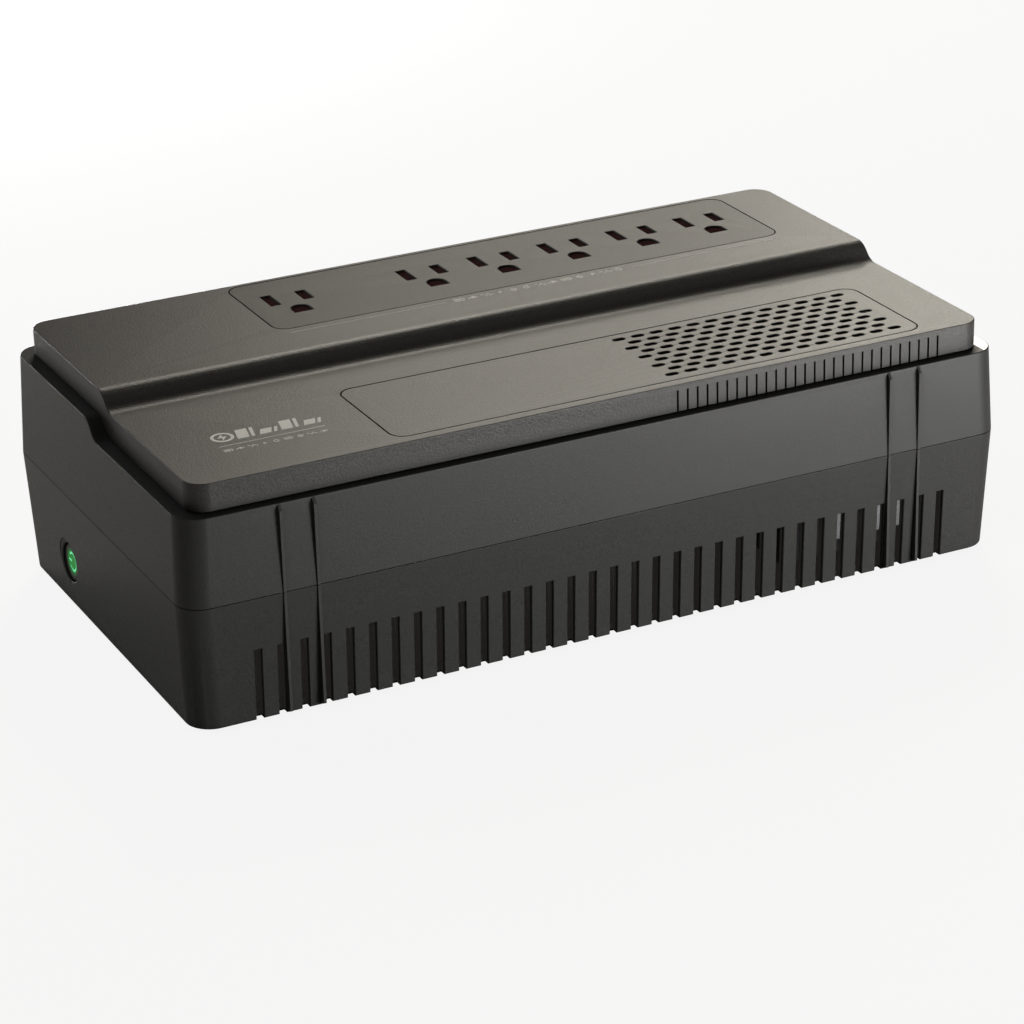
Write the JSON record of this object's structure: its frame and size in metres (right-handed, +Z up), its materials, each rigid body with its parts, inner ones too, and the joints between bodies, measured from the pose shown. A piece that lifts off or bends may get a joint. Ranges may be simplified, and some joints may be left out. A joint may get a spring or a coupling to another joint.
{
  "type": "uninterruptible power supply",
  "caption": "Low desktop uninterruptible power supply with mains receptacles and a vented panel on its stepped top, slotted side walls and a lit push button on one end.",
  "frame": {"origin": "on the desk, under the middle of the case", "axes": "+Z up; +X along the length, towards the end with the supply cord's gland and away from the power button; -Y the long front side, below the low half of the stepped top"},
  "size_m": [0.303, 0.1596, 0.0908],
  "materials": {
    "case_plastic": "fine-grained satin moulded plastic",
    "cover_plastic": "fine-grained satin moulded plastic",
    "panel_plastic": "fine-grained satin moulded plastic",
    "black_plastic": "plain moulded plastic",
    "battery_plastic": "plain moulded plastic",
    "blue_plastic": "gloss sleeve",
    "green_light": "translucent light guide",
    "board_green": "solder-masked board",
    "red_wire": "wire insulation",
    "rubber": "matte",
    "foam": "open-cell foam",
    "steel": "zinc plated",
    "brass": "stamped strip",
    "copper": "enamelled wire",
    "aluminium": "extruded"
  },
  "bodies": {
    "case": {"battery_case": "battery_plastic", "battery_lead_black": "black_plastic", "battery_lead_red": "red_wire", "battery_lid": "black_plastic", "battery_pad_1": "foam", "battery_pad_2": "foam", "battery_terminal_negative": "steel", "battery_terminal_positive": "steel", "board_screw_1": "steel", "board_screw_2": "steel", "board_screw_3": "steel", "board_screw_4": "steel", "bottom_shell": "case_plastic", "bracket_screw_1": "steel", "bracket_screw_2": "steel", "breaker_nut": "steel", "button_board": "board_green", "button_guide": "black_plastic", "button_switch": "black_plastic", "buzzer": "black_plastic", "capacitor_1": "blue_plastic", "capacitor_2": "blue_plastic", "case_screw_1": "steel", "case_screw_2": "steel", "case_screw_3": "steel", "case_screw_4": "steel", "choke": "copper", "circuit_breaker": "black_plastic", "contact_carrier": "black_plastic", "cord_gland": "black_plastic", "earth_strip": "brass", "fuse": "blue_plastic", "heat_sink": "aluminium", "line_strip": "brass", "main_board": "board_green", "neutral_strip": "brass", "outlet_panel": "panel_plastic", "power_transistor_1": "black_plastic", "power_transistor_2": "black_plastic", "relay_1": "blue_plastic", "relay_2": "blue_plastic", "rubber_foot_1": "rubber", "rubber_foot_2": "rubber", "rubber_foot_3": "rubber", "rubber_foot_4": "rubber", "status_led": "green_light", "top_cover": "cover_plastic", "transformer_bobbin": "black_plastic", "transformer_bracket": "steel", "transformer_core": "steel", "transformer_winding": "copper", "upper_housing": "case_plastic", "vent_panel": "cover_plastic"},
    "power_button_body": {"power_button": "case_plastic", "power_light_guide": "green_light", "switch_plunger": "black_plastic"},
    "breaker_button_body": {"breaker_button": "black_plastic"}
  },
  "joints": [
    {"name": "power_button_press", "type": "slide", "parent": "case", "child": "power_button_body", "axis": [1, 0, 0], "range_m": [0, 0.0012], "stiffness_N_per_m": 400},
    {"name": "breaker_reset", "type": "slide", "parent": "case", "child": "breaker_button_body", "axis": [1, 0, 0], "range_m": [0, 0.004]}
  ]
}
